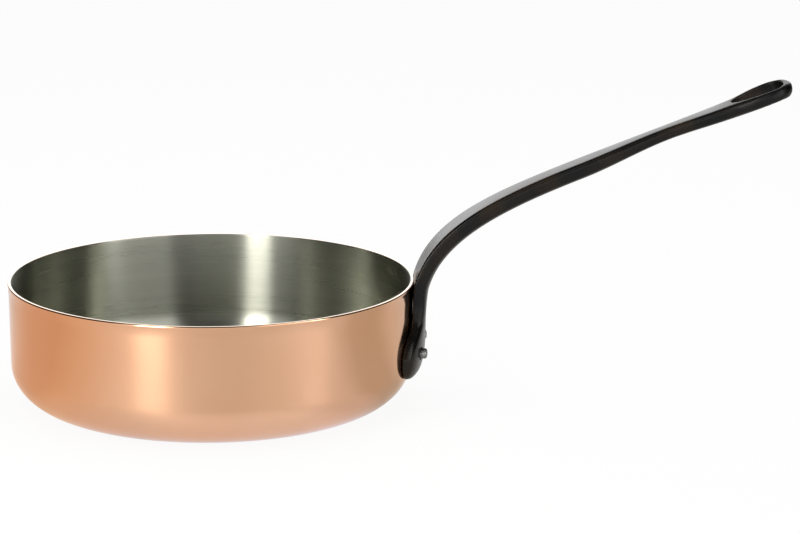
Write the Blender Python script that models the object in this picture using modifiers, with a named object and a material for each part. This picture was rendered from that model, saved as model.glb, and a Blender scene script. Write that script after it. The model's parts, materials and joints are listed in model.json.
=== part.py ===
# Straight-sided saute pan: a copper body with a bonded steel lining, and a cast iron handle
# with a hanging eye, held by two solid rivets.
# Units are metres. The origin is the centre of the resting face, +Z is up, and the handle
# points along +X.

import math

import bmesh
import bpy
from mathutils import Matrix, Vector

# Driving dimensions of the body
INNER_DIAMETER = 0.280        # cooking size, measured inside the rim
PAN_HEIGHT = 0.0890           # resting face to rim
COPPER_THICKNESS = 0.0013     # copper layer
LINING_THICKNESS = 0.0004     # steel layer
BOND_GAP = 0.0003             # kept between the two layers
WALL_TAPER = 0.0013           # how much the wall's radius shrinks from rim to base
CORNER_REACH = 0.0385         # how far the base corner runs in towards the middle
CORNER_RISE = 0.0315          # how far the base corner runs up the wall
LIP_FLARE = 0.0005            # how far the rim turns out past the wall
LIP_HEIGHT = 0.0030           # height over which the rim turns out
RIM_EDGE = 0.0003             # rounding of the rim's two edges

# Driving dimensions of the handle
HANDLE_REACH = 0.2600         # wall to the end of the eye, along X
HANDLE_RISE = 0.1432          # rim to the top of the eye's end
STEM_ANGLE = 22.1             # slope of the straight stem, in degrees
STEM_STRAIGHT = 0.158         # length of the straight run, with the eye
NECK_STANDOFF = 0.0013        # neck to wall, level with the rim
NECK_ANGLE = 73.0             # slope of the neck as it passes the rim, in degrees
NECK_LEAVE_ANGLE = 89.2       # slope of the neck where it leaves the wall, in degrees
NECK_WIDTH = 0.0500           # across the neck, level with the rim
WAIST_WIDTH = 0.0400          # across the slimmest part of the neck, under the rim
BEND_WIDTH = 0.0375           # across the middle of the bend
STEM_WIDTH = 0.0234           # across the stem where the straight run starts
GRIP_WIDTH = 0.0150           # across the slimmest part of the stem
NECK_DEPTH = 0.0108           # thickness level with the rim
BEND_DEPTH = 0.0122           # thickness in the bend
STEM_DEPTH = 0.0113           # thickness where the straight run starts
GRIP_DEPTH = 0.0080           # thickness of the slimmest part
FOOT_WIDTH = 0.0890           # across the foot, along the wall's chord
FOOT_TOP = 0.0270             # rim to the line where the neck meets the wall
FOOT_BOTTOM = 0.0656          # rim to the foot's lower edge
FOOT_DEPTH = 0.0092           # foot's thickness at its middle
FOOT_EDGE = 0.0026            # foot's thickness along its lower edge
EYE_RING_WIDTH = 0.0405       # across the ring round the eye
EYE_RING_DEPTH = 0.0102       # height of the ring
EYE_LENGTH = 0.0380           # hanging eye, along the stem
EYE_WIDTH = 0.0320            # hanging eye, across the stem
EYE_END_WALL = 0.0054         # ring's thickness at its far end
EYE_END_ROUND = 0.0065        # how far the ring's far end is rounded over
END_FLAT = 0.0024             # width and height of the small flat at the very end

# Driving dimensions of the rivets
RIVET_DIAMETER = 0.0074
RIVET_SPACING = 0.0510        # between the two rivets, along the wall's chord
RIVET_DROP = 0.0474           # rim to the rivets' axes
RIVET_TAIL = 0.0040           # how far the outer end stands proud of the foot
RIVET_TAIL_DOME = 0.0006
RIVET_HEAD_DIAMETER = 0.0150
RIVET_HEAD_HEIGHT = 0.0022
RIVET_HEAD_DOME = 0.0008
RIVET_CLEARANCE = 0.0003      # round the shank, in all three holes

# Free curves of the handle. Each outline is a list of (place, half width) knots: the foot's
# in shares of its height and width, the ring's in eye lengths from the handle's end and in
# shares of the way from the grip's half width to the ring's.
FOOT_OUTLINE = [
    (0.0, 0.345), (0.05, 0.42), (0.13, 0.472), (0.27, 0.50), (0.45, 0.492), (0.60, 0.452),
    (0.75, 0.375), (0.88, 0.285), (1.0, 0.236),
]
FOOT_STATION_SHARES = [0.0, 0.03, 0.08, 0.15, 0.23, 0.32, 0.43, 0.56, 0.70, 0.85, 1.0]
FOOT_SWELL_SHARE = 0.60       # share of the foot's height in which it reaches full thickness
RING_BELLY_SHARE = 0.43       # widest place of the ring, in eye lengths from the end
RING_OUTLINE = [
    (0.43, 1.0), (0.68, 0.92), (0.91, 0.68), (1.10, 0.45), (1.55, 0.27), (2.10, 0.08), (2.45, 0.0),
]
RING_ZONE_RATIO = 2.15        # length over which the stem swells into the ring, in ring lengths
NECK_PULL_SHARES = (0.50, 0.17)  # how far the neck's curve follows its two ends, in neck heights
BEND_PULL_SHARES = (0.285, 0.500)  # how far the bend's curve follows its two ends, in spans
WRAP_END_SHARE = 0.30         # share of the neck where its inner face is flat across
WRAP_START_SHARE = 0.75       # share of the foot's height where it starts to leave the wall's curve
WAIST_SHARE = 0.45            # share of the neck where it is slimmest
BEND_MIDDLE_SHARE = 0.35      # share of the bend where its middle sizes are reached
STEM_SECTION_POWER = 3.2      # how square the underside is: 2 is an ellipse
FOOT_SECTION_POWER = 7.0
END_DROP_SHARE = 0.30         # share of the end's rounding that comes off its upper face
EYE_TIP_SHARE = 0.38          # roundness of the eye's narrow end, in half widths
EYE_END_SHARE = 0.62          # roundness of its wide end
EYE_BELLY_SHARE = 0.46        # widest place of the eye, in half lengths past its middle

FIT_GAP = 0.0003              # between faces that touch
CUT_MARGIN = 0.0040           # how far a cutter runs past the faces that it cuts

# Fineness of the meshes
TURN_STEPS = 72
CORNER_POINTS = 9
RIVET_STEPS = 24
SECTION_TOP_POINTS = 8
SECTION_UNDER_POINTS = 16
NECK_STEPS = 5
BEND_STEPS = 14
STEM_STEPS = 6
RING_STEPS = 20

# Worked out from the driving dimensions
LINING_INNER = INNER_DIAMETER / 2
LINING_OUTER = LINING_INNER + LINING_THICKNESS
COPPER_INNER = LINING_OUTER + BOND_GAP
COPPER_OUTER = COPPER_INNER + COPPER_THICKNESS
RIVET_RADIUS = RIVET_DIAMETER / 2
RIVET_HEIGHT = PAN_HEIGHT - RIVET_DROP


def remove_old_objects():
    for old in list(bpy.data.objects):
        bpy.data.objects.remove(old, do_unlink=True)
    for old in list(bpy.data.collections):
        bpy.data.collections.remove(old)


def new_collection(name):
    collection = bpy.data.collections.new(name)
    bpy.context.scene.collection.children.link(collection)
    return collection


def new_material(name, colour, roughness, metallic):
    material = bpy.data.materials.new(name)
    material.use_nodes = True
    shader = material.node_tree.nodes["Principled BSDF"]
    shader.inputs["Base Color"].default_value = (*colour, 1.0)
    shader.inputs["Roughness"].default_value = roughness
    shader.inputs["Metallic"].default_value = metallic
    material.diffuse_color = (*colour, 1.0)
    return material


def mesh_object(name, mesh, collection, material=None):
    made = bpy.data.objects.new(name, mesh)
    collection.objects.link(made)
    if material is not None:
        mesh.materials.append(material)
    return made


def outward_mesh(name, build):
    """Runs build(bm) on a new mesh, then merges doubles and turns every face outwards."""
    bm = bmesh.new()
    build(bm)
    bmesh.ops.remove_doubles(bm, verts=bm.verts, dist=0.000005)
    bmesh.ops.recalc_face_normals(bm, faces=bm.faces)
    mesh = bpy.data.meshes.new(name)
    bm.to_mesh(mesh)
    bm.free()
    return mesh


def shade_round(made, angle=35.0):
    made.data.shade_smooth()
    made.data.set_sharp_from_angle(angle=math.radians(angle))


def turned_object(name, profile, steps, collection, material):
    """A profile of (radius, height) points, run down its outer side and turned about Z."""
    mesh = bpy.data.meshes.new(name)
    points = [(radius, 0.0, height) for radius, height in profile]
    edges = [(i, i + 1) for i in range(len(points) - 1)]
    mesh.from_pydata(points, edges, [])
    made = mesh_object(name, mesh, collection, material)
    screw = made.modifiers.new("turn", "SCREW")
    screw.axis = "Z"
    screw.angle = math.tau
    screw.steps = steps
    screw.render_steps = steps
    screw.use_merge_vertices = True
    screw.merge_threshold = 0.00001
    screw.use_smooth_shade = True
    return made


def cut(made, cutter, name):
    boolean = made.modifiers.new(name, "BOOLEAN")
    boolean.operation = "DIFFERENCE"
    boolean.solver = "EXACT"
    boolean.object = cutter
    cutter.hide_render = True
    cutter.display_type = "WIRE"


# Body: the wall is a slightly tapered cylinder that runs into the flat base through an
# elliptical corner. All four faces of the two layers come from this one rule.

def wall_radius(top_radius, height):
    return top_radius - WALL_TAPER * (PAN_HEIGHT - height) / PAN_HEIGHT


def outer_face_radius(height):
    """Radius of the copper's outer face at a height, down into the base corner."""
    wall = wall_radius(COPPER_OUTER, max(height, CORNER_RISE))
    below = max(0.0, CORNER_RISE - height) / CORNER_RISE
    return wall - CORNER_REACH * (1.0 - math.sqrt(max(0.0, 1.0 - below * below)))


def shell_line(top_radius, floor_height):
    """Points of one face of the shell, from the axis out along the floor and up to the lip."""
    inset = COPPER_OUTER - top_radius
    reach = CORNER_REACH - inset
    rise = CORNER_RISE - floor_height
    corner_top = floor_height + rise
    corner_radius = wall_radius(top_radius, corner_top)
    line = [(0.0, floor_height)]
    for i in range(CORNER_POINTS):
        turn = 0.5 * math.pi * i / (CORNER_POINTS - 1)
        radius = corner_radius - reach * (1.0 - math.sin(turn))
        height = corner_top - rise * math.cos(turn)
        line.append((radius, height))
    line.append((wall_radius(top_radius, PAN_HEIGHT - LIP_HEIGHT), PAN_HEIGHT - LIP_HEIGHT))
    return line


def make_copper_body(collection, material):
    floor = COPPER_THICKNESS
    inner = shell_line(COPPER_INNER, floor)
    outer = shell_line(COPPER_OUTER, 0.0)
    lip_inner = COPPER_INNER
    lip_outer = COPPER_OUTER + LIP_FLARE
    lip = [
        (lip_inner, PAN_HEIGHT - RIM_EDGE),
        (lip_inner + RIM_EDGE, PAN_HEIGHT),
        (lip_outer - RIM_EDGE, PAN_HEIGHT),
        (lip_outer, PAN_HEIGHT - RIM_EDGE),
        (lip_outer, PAN_HEIGHT - 0.45 * LIP_HEIGHT),
        (lip_outer - 0.6 * LIP_FLARE, PAN_HEIGHT - 0.8 * LIP_HEIGHT),
    ]
    profile = inner + lip + outer[::-1]
    return turned_object("copper_body", profile, TURN_STEPS, collection, material)


def make_steel_lining(collection, material):
    floor = COPPER_THICKNESS + BOND_GAP
    outer = shell_line(LINING_OUTER, floor)
    inner = shell_line(LINING_INNER, floor + LINING_THICKNESS)
    lip = [
        (LINING_INNER, PAN_HEIGHT),
        (LINING_OUTER, PAN_HEIGHT),
    ]
    profile = inner + lip + outer[::-1]
    return turned_object("steel_lining", profile, TURN_STEPS, collection, material)


# Rivets: a low head inside the pan, a shank through lining, copper and foot, and a plain
# outer end that stands proud of the foot.

def rivet_azimuth(side):
    return side * math.asin(0.5 * RIVET_SPACING / COPPER_OUTER)


def rivet_frame(side):
    """Places a shape turned about Z so that its Z axis points out of the wall at the rivet."""
    azimuth = rivet_azimuth(side)
    turn = Matrix.Rotation(azimuth, 4, "Z") @ Matrix.Rotation(0.5 * math.pi, 4, "Y")
    return Matrix.Translation((0.0, 0.0, RIVET_HEIGHT)) @ turn


def foot_face_at_rivet():
    """Distance from the pan's axis to the foot's outer face at a rivet."""
    station = foot_station(RIVET_HEIGHT)
    across = 0.5 * RIVET_SPACING
    depth = station["depth"] * section_fill(across / station["half"], station["power"])
    return foot_seat(RIVET_HEIGHT) + depth


def make_rivet(side, name, collection, material):
    inner_face = wall_radius(LINING_INNER, RIVET_HEIGHT)
    head_radius = 0.5 * RIVET_HEAD_DIAMETER
    seat = math.sqrt(inner_face ** 2 - head_radius ** 2) - FIT_GAP
    end = foot_face_at_rivet() + RIVET_TAIL
    head_edge = seat - (RIVET_HEAD_HEIGHT - RIVET_HEAD_DOME)
    profile = [
        (0.0, end),
        (0.60 * RIVET_RADIUS, end - 0.30 * RIVET_TAIL_DOME),
        (RIVET_RADIUS - RIVET_TAIL_DOME, end - RIVET_TAIL_DOME),
        (RIVET_RADIUS, end - 2.0 * RIVET_TAIL_DOME),
        (RIVET_RADIUS, seat),
        (head_radius, seat),
        (head_radius, head_edge),
        (0.75 * head_radius, head_edge - 0.6 * RIVET_HEAD_DOME),
        (0.40 * head_radius, head_edge - 0.9 * RIVET_HEAD_DOME),
        (0.0, head_edge - RIVET_HEAD_DOME),
    ]
    made = turned_object(name, profile, RIVET_STEPS, collection, material)
    made.matrix_world = rivet_frame(side)
    return made


def make_rivet_hole(side, name, collection):
    radius = RIVET_RADIUS + RIVET_CLEARANCE
    start = wall_radius(LINING_INNER, RIVET_HEIGHT) - CUT_MARGIN
    end = foot_face_at_rivet() + CUT_MARGIN
    bpy.ops.mesh.primitive_cylinder_add(vertices=RIVET_STEPS, radius=radius, depth=end - start)
    hole = bpy.context.object
    hole.name = name
    for owner in list(hole.users_collection):
        owner.objects.unlink(hole)
    collection.objects.link(hole)
    hole.matrix_world = rivet_frame(side) @ Matrix.Translation((0.0, 0.0, 0.5 * (start + end)))
    return hole


# Handle: one loft from the foot's lower edge, up the wall, over the rim and out to the end
# of the eye. Each station holds a point of the line along its upper face, the direction
# from there to the underside, half the width, the thickness, how square the underside is,
# and how far the section wraps the wall.

def section_fill(share, power):
    """Depth of the underside at a share of the half width, from 1 in the middle to 0."""
    inside = max(0.0, 1.0 - abs(share) ** power)
    return inside ** (1.0 / power)


def smooth_between(knots, x):
    """A smooth curve through (x, value) knots that never overshoots them."""
    count = len(knots)
    if x <= knots[0][0]:
        return knots[0][1]
    if x >= knots[-1][0]:
        return knots[-1][1]
    steps = [knots[i + 1][0] - knots[i][0] for i in range(count - 1)]
    slopes = [(knots[i + 1][1] - knots[i][1]) / steps[i] for i in range(count - 1)]
    tangents = [0.0] * count
    for i in range(1, count - 1):
        if slopes[i - 1] * slopes[i] > 0.0:
            left = 2.0 * steps[i] + steps[i - 1]
            right = steps[i] + 2.0 * steps[i - 1]
            tangents[i] = (left + right) / (left / slopes[i - 1] + right / slopes[i])
    place = max(i for i in range(count - 1) if knots[i][0] <= x)
    step = steps[place]
    t = (x - knots[place][0]) / step
    start = (1.0 + 2.0 * t) * (1.0 - t) ** 2 * knots[place][1]
    start += t * (1.0 - t) ** 2 * step * tangents[place]
    end = t * t * (3.0 - 2.0 * t) * knots[place + 1][1]
    end += t * t * (t - 1.0) * step * tangents[place + 1]
    return start + end


def bezier_point(controls, t):
    a, b, c, d = controls
    s = 1.0 - t
    return a * s ** 3 + b * 3.0 * s * s * t + c * 3.0 * s * t * t + d * t ** 3


def foot_seat(height):
    """Radius of the foot's inner face, just clear of the copper wall."""
    return outer_face_radius(height) + FIT_GAP


def foot_station(height):
    """Half width and thickness of the foot at a height on the wall."""
    low = PAN_HEIGHT - FOOT_BOTTOM
    high = PAN_HEIGHT - FOOT_TOP
    tall = high - low
    share = (height - low) / tall
    half = FOOT_WIDTH * smooth_between(FOOT_OUTLINE, share)
    swell = section_fill(1.0 - min(1.0, share / FOOT_SWELL_SHARE), 2.0)
    depth = FOOT_EDGE + (FOOT_DEPTH - FOOT_EDGE) * swell
    return {"half": half, "depth": depth, "power": FOOT_SECTION_POWER}


def wall_wrap(height):
    """How far a section follows the wall's curve: 1 on the foot, 0 where the face is flat."""
    foot_top = PAN_HEIGHT - FOOT_TOP
    start = foot_top - (1.0 - WRAP_START_SHARE) * (FOOT_BOTTOM - FOOT_TOP)
    end = foot_top + WRAP_END_SHARE * FOOT_TOP
    return smooth_between([(start, 1.0), (end, 0.0)], height)


def stem_end():
    return Vector((COPPER_OUTER + HANDLE_REACH, 0.0, PAN_HEIGHT + HANDLE_RISE))


def stem_direction():
    slope = math.radians(STEM_ANGLE)
    return Vector((math.cos(slope), 0.0, math.sin(slope)))


def ring_zone():
    """Length of the handle's end in which the stem swells into the ring."""
    return RING_ZONE_RATIO * (EYE_LENGTH + EYE_END_WALL)


def upper_line():
    """The line along the handle's upper face, as (point, kind, share) in order."""
    low = PAN_HEIGHT - FOOT_BOTTOM
    high = PAN_HEIGHT - FOOT_TOP
    line = []
    for share in FOOT_STATION_SHARES:
        height = low + (high - low) * share
        line.append((Vector((foot_seat(height), 0.0, height)), "foot", share))
    neck_slope = math.radians(NECK_ANGLE)
    neck_way = Vector((math.cos(neck_slope), 0.0, math.sin(neck_slope)))
    neck = Vector((COPPER_OUTER + NECK_STANDOFF, 0.0, PAN_HEIGHT))
    seat = line[-1][0]
    neck_tall = neck.z - seat.z
    leave_slope = math.radians(NECK_LEAVE_ANGLE)
    leave_way = Vector((math.cos(leave_slope), 0.0, math.sin(leave_slope)))
    leave_seat = seat + leave_way * NECK_PULL_SHARES[0] * neck_tall
    reach_rim = neck - neck_way * NECK_PULL_SHARES[1] * neck_tall
    for i in range(1, NECK_STEPS + 1):
        share = i / NECK_STEPS
        line.append((bezier_point((seat, leave_seat, reach_rim, neck), share), "neck", share))
    bend_end = stem_end() - stem_direction() * STEM_STRAIGHT
    span = (bend_end - neck).length
    leave_rim = neck + neck_way * BEND_PULL_SHARES[0] * span
    reach_stem = bend_end - stem_direction() * BEND_PULL_SHARES[1] * span
    for i in range(1, BEND_STEPS + 1):
        share = i / BEND_STEPS
        line.append((bezier_point((neck, leave_rim, reach_stem, bend_end), share), "bend", share))
    ring = ring_zone() / STEM_STRAIGHT
    for i in range(1, STEM_STEPS + 1):
        share = (1.0 - ring) * i / STEM_STEPS
        line.append((bend_end + stem_direction() * STEM_STRAIGHT * share, "stem", share))
    for i in range(1, RING_STEPS + 1):
        share = 1.0 - ring * (1.0 - math.sin(0.5 * math.pi * i / RING_STEPS))
        line.append((bend_end + stem_direction() * STEM_STRAIGHT * share, "stem", share))
    return line


def ring_half_width(from_end):
    """Half the width of the ring, from_end metres before the handle's end."""
    half = 0.5 * EYE_RING_WIDTH
    grip = 0.5 * GRIP_WIDTH
    belly = RING_BELLY_SHARE * EYE_LENGTH
    if from_end <= belly:
        return half * math.sqrt(max(0.0, 1.0 - (1.0 - from_end / belly) ** 2))
    return grip + (half - grip) * smooth_between(RING_OUTLINE, from_end / EYE_LENGTH)


def shape_neck(station, share):
    foot_top = foot_station(PAN_HEIGHT - FOOT_TOP)
    widths = [(0.0, 2.0 * foot_top["half"]), (WAIST_SHARE, WAIST_WIDTH), (1.0, NECK_WIDTH)]
    station["half"] = 0.5 * smooth_between(widths, share)
    station["depth"] = smooth_between([(0.0, FOOT_DEPTH), (1.0, NECK_DEPTH)], share)
    station["wrap"] = wall_wrap(station["point"].z)
    station["power"] = smooth_between([(0.0, FOOT_SECTION_POWER), (1.0, STEM_SECTION_POWER)], share)


def shape_bend(station, share):
    widths = [(0.0, NECK_WIDTH), (BEND_MIDDLE_SHARE, BEND_WIDTH), (1.0, STEM_WIDTH)]
    depths = [(0.0, NECK_DEPTH), (BEND_MIDDLE_SHARE, BEND_DEPTH), (1.0, STEM_DEPTH)]
    station["half"] = 0.5 * smooth_between(widths, share)
    station["depth"] = smooth_between(depths, share)


def shape_stem(station, share):
    """The straight run: it slims down to the grip, then swells into the ring."""
    from_end = STEM_STRAIGHT * (1.0 - share)
    grip = 1.0 - ring_zone() / STEM_STRAIGHT
    full_ring = 1.0 - EYE_LENGTH / STEM_STRAIGHT
    widths = [(0.0, STEM_WIDTH), (grip, GRIP_WIDTH)]
    depths = [(0.0, STEM_DEPTH), (grip, GRIP_DEPTH), (full_ring, EYE_RING_DEPTH)]
    station["half"] = 0.5 * smooth_between(widths, share)
    station["depth"] = smooth_between(depths, share)
    if from_end < ring_zone():
        station["half"] = max(0.5 * END_FLAT, ring_half_width(from_end))
    if from_end < EYE_END_ROUND:
        left = max(END_FLAT / EYE_RING_DEPTH, math.sqrt(1.0 - (1.0 - from_end / EYE_END_ROUND) ** 2))
        lost = station["depth"] * (1.0 - left)
        station["point"] = station["point"] + station["under"] * (END_DROP_SHARE * lost)
        station["depth"] -= lost


def handle_stations():
    line = upper_line()
    stations = []
    for i, (point, kind, share) in enumerate(line):
        before = line[max(0, i - 1)][0]
        after = line[min(len(line) - 1, i + 1)][0]
        along = Vector((0.0, 0.0, 1.0)) if kind == "foot" else (after - before).normalized()
        under = Vector((along.z, 0.0, -along.x))
        station = {"point": point, "under": under, "wrap": 0.0, "power": STEM_SECTION_POWER}
        if kind == "foot":
            station.update(foot_station(point.z))
            station["wrap"] = wall_wrap(point.z)
        elif kind == "neck":
            shape_neck(station, share)
        elif kind == "bend":
            shape_bend(station, share)
        else:
            shape_stem(station, share)
        stations.append(station)
    return stations


def section_points(station):
    """One closed section: across the upper face, then back round the underside."""
    half = station["half"]
    radius = station["point"].x
    points = []
    shares = []
    for i in range(SECTION_TOP_POINTS):
        shares.append((1.0 - 2.0 * i / SECTION_TOP_POINTS, 0.0))
    for i in range(SECTION_UNDER_POINTS):
        turn = math.pi * (1.0 - i / SECTION_UNDER_POINTS)
        bulge = 2.0 / station["power"]
        across = math.copysign(abs(math.cos(turn)) ** bulge, math.cos(turn))
        shares.append((across, abs(math.sin(turn)) ** bulge))
    for across, deep in shares:
        y = half * across
        sag = station["wrap"] * (radius - math.sqrt(radius * radius - y * y))
        place = station["point"] + station["under"] * (station["depth"] * deep)
        points.append(Vector((place.x - sag, y, place.z)))
    return points


def loft(bm, sections):
    """Joins sections of equal point count with quads, and closes both ends."""
    rings = [[bm.verts.new(point) for point in section] for section in sections]
    count = len(rings[0])
    for lower, upper in zip(rings, rings[1:]):
        for i in range(count):
            j = (i + 1) % count
            bm.faces.new((lower[i], lower[j], upper[j], upper[i]))
    bm.faces.new(rings[0][::-1])
    bm.faces.new(rings[-1])


def make_eye_cutter(collection):
    """A teardrop prism, square to the ring, with its point towards the grip."""
    end = stem_end() - stem_direction() * EYE_END_WALL
    middle = end - stem_direction() * 0.5 * EYE_LENGTH
    half_long = 0.5 * EYE_LENGTH
    half_wide = 0.5 * EYE_WIDTH
    curve = bpy.data.curves.new("eye_outline", "CURVE")
    curve.dimensions = "2D"
    curve.fill_mode = "BOTH"
    curve.extrude = EYE_RING_DEPTH + CUT_MARGIN
    curve.resolution_u = 8
    spline = curve.splines.new("BEZIER")
    spline.bezier_points.add(3)
    belly = EYE_BELLY_SHARE * half_long
    tip_pull = EYE_TIP_SHARE * half_wide
    end_pull = EYE_END_SHARE * half_wide
    to_tip = (0.78 * half_long, 0.0)
    to_end = (0.34 * half_long, 0.0)
    outline = [
        ((-half_long, 0.0), (0.0, tip_pull), (0.0, tip_pull)),
        ((belly, half_wide), to_tip, to_end),
        ((half_long, 0.0), (0.0, -end_pull), (0.0, -end_pull)),
        ((belly, -half_wide), (-to_end[0], 0.0), (-to_tip[0], 0.0)),
    ]
    for knot, (place, arrive, leave) in zip(spline.bezier_points, outline):
        knot.handle_left_type = "FREE"
        knot.handle_right_type = "FREE"
        knot.co = (place[0], place[1], 0.0)
        knot.handle_left = (place[0] - arrive[0], place[1] - arrive[1], 0.0)
        knot.handle_right = (place[0] + leave[0], place[1] + leave[1], 0.0)
    spline.use_cyclic_u = True
    flat = bpy.data.objects.new("eye_outline", curve)
    collection.objects.link(flat)
    flat.matrix_world = Matrix.Translation(middle) @ Matrix.Rotation(-math.radians(STEM_ANGLE), 4, "Y")
    bpy.context.view_layer.update()
    evaluated = flat.evaluated_get(bpy.context.evaluated_depsgraph_get())
    mesh = bpy.data.meshes.new_from_object(evaluated)
    bm = bmesh.new()
    bm.from_mesh(mesh)
    bmesh.ops.remove_doubles(bm, verts=bm.verts, dist=0.00001)
    bm.to_mesh(mesh)
    bm.free()
    cutter = mesh_object("eye_cutter", mesh, collection)
    cutter.matrix_world = flat.matrix_world.copy()
    bpy.data.objects.remove(flat, do_unlink=True)
    return cutter


def make_handle(collection, material):
    sections = [section_points(station) for station in handle_stations()]
    mesh = outward_mesh("handle", lambda bm: loft(bm, sections))
    return mesh_object("handle", mesh, collection, material)


def main():
    remove_old_objects()
    parts = new_collection("saute_pan")
    cutters = new_collection("cutters")
    copper = new_material("polished_copper", (0.80, 0.47, 0.32), 0.14, 1.0)
    steel = new_material("brushed_steel", (0.46, 0.46, 0.43), 0.30, 1.0)
    iron = new_material("black_cast_iron", (0.045, 0.043, 0.040), 0.50, 0.0)
    rivet_steel = new_material("rivet_steel", (0.36, 0.36, 0.35), 0.34, 1.0)

    body = make_copper_body(parts, copper)
    lining = make_steel_lining(parts, steel)
    handle = make_handle(parts, iron)
    cut(handle, make_eye_cutter(cutters), "hanging_eye")
    for side, end in ((-1.0, "right"), (1.0, "left")):
        make_rivet(side, "rivet_" + end, parts, rivet_steel)
        hole = make_rivet_hole(side, "rivet_hole_" + end, cutters)
        for made in (body, lining, handle):
            cut(made, hole, "rivet_hole_" + end)
    shade_round(handle)


main()
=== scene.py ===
# Looks of the straight-sided saute pan: polished copper outside, brushed steel inside,
# a satin black cast iron handle and its rivets, in a plain white studio.
import json
import math

import bmesh
import bpy
from mathutils import Matrix, Vector

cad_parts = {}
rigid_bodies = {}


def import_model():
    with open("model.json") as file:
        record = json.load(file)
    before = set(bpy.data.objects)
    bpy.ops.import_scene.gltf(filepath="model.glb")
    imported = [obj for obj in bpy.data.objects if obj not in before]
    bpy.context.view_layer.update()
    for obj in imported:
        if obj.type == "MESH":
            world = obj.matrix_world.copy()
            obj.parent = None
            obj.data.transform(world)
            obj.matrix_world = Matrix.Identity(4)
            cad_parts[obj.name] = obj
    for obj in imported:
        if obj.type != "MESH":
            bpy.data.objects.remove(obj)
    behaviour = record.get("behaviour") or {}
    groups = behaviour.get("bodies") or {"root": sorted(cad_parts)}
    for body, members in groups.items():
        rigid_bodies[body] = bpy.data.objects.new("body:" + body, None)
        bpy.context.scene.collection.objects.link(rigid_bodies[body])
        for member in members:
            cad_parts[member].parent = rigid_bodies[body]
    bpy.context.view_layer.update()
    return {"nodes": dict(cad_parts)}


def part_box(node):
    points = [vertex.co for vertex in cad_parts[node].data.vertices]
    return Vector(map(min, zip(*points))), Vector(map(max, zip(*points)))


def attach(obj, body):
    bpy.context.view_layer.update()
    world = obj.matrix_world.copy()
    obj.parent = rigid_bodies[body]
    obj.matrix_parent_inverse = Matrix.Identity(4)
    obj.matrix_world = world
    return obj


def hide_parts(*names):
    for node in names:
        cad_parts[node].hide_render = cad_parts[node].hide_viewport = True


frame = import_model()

print("frame loaded:", sorted(frame["nodes"]))


# Camera: placed where the photograph was taken from, with its angles in degrees. The handle
# leans a little towards it.
photoView = {
    "imageWidth": 800,
    "focalPixels": 2978.7,
    "sensorWidth": 36.0,
    "distance": 2.100,            # to the middle of the rim
    "elevation": 13.32,
    "pitch": 13.12,
    "yaw": 3.72,
    "roll": 0.35,
    "handleTurn": 3.5,
    "clip": (0.05, 60.0),
}


def addCamera(view, target):
    elevation = math.radians(view["elevation"])
    pitch = math.radians(view["pitch"])
    yaw = math.radians(view["yaw"])
    roll = math.radians(view["roll"])
    place = Vector((0.0, -math.cos(elevation), math.sin(elevation))) * view["distance"]
    ahead = Vector((
        math.sin(yaw) * math.cos(pitch), math.cos(yaw) * math.cos(pitch), -math.sin(pitch),
    ))
    level = Vector((math.cos(yaw), -math.sin(yaw), 0.0))
    up = level.cross(ahead)
    right = level * math.cos(roll) + up * math.sin(roll)
    top = up * math.cos(roll) - level * math.sin(roll)
    axes = Matrix((right, top, -ahead)).transposed().to_4x4()
    turn = Matrix.Rotation(math.radians(view["handleTurn"]), 4, "Z")
    lens = bpy.data.cameras.new("photoCamera")
    lens.sensor_width = view["sensorWidth"]
    lens.lens = view["sensorWidth"] * view["focalPixels"] / view["imageWidth"]
    lens.clip_start, lens.clip_end = view["clip"]
    camera = bpy.data.objects.new("photoCamera", lens)
    camera.matrix_world = Matrix.Translation(target) @ turn @ Matrix.Translation(place) @ axes
    bpy.context.scene.collection.objects.link(camera)
    bpy.context.scene.camera = camera


addCamera(photoView, Vector((0.0, 0.0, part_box("copper_body")[1].z)))
print("camera placed")


# Shader maths: Sock wraps a socket, so that plain expressions add Math nodes.
class Sock:
    def __init__(self, graph, socket):
        self.graph = graph
        self.socket = socket

    def maths(self, operation, first, second):
        sockets = {0: first, 1: second}
        return self.graph.node("ShaderNodeMath", {"operation": operation}, sockets)

    def __add__(self, other):
        return self.maths("ADD", self, other)

    def __sub__(self, other):
        return self.maths("SUBTRACT", self, other)

    def __rsub__(self, other):
        return self.maths("SUBTRACT", other, self)

    def __mul__(self, other):
        return self.maths("MULTIPLY", self, other)

    def __truediv__(self, other):
        return self.maths("DIVIDE", self, other)

    def __pow__(self, other):
        return self.maths("POWER", self, other)

    def between(self, low, high):
        return self.graph.node(
            "ShaderNodeMapRange",
            {"interpolation_type": "SMOOTHSTEP"},
            {"Value": self, "From Min": low, "From Max": high},
        )


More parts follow.
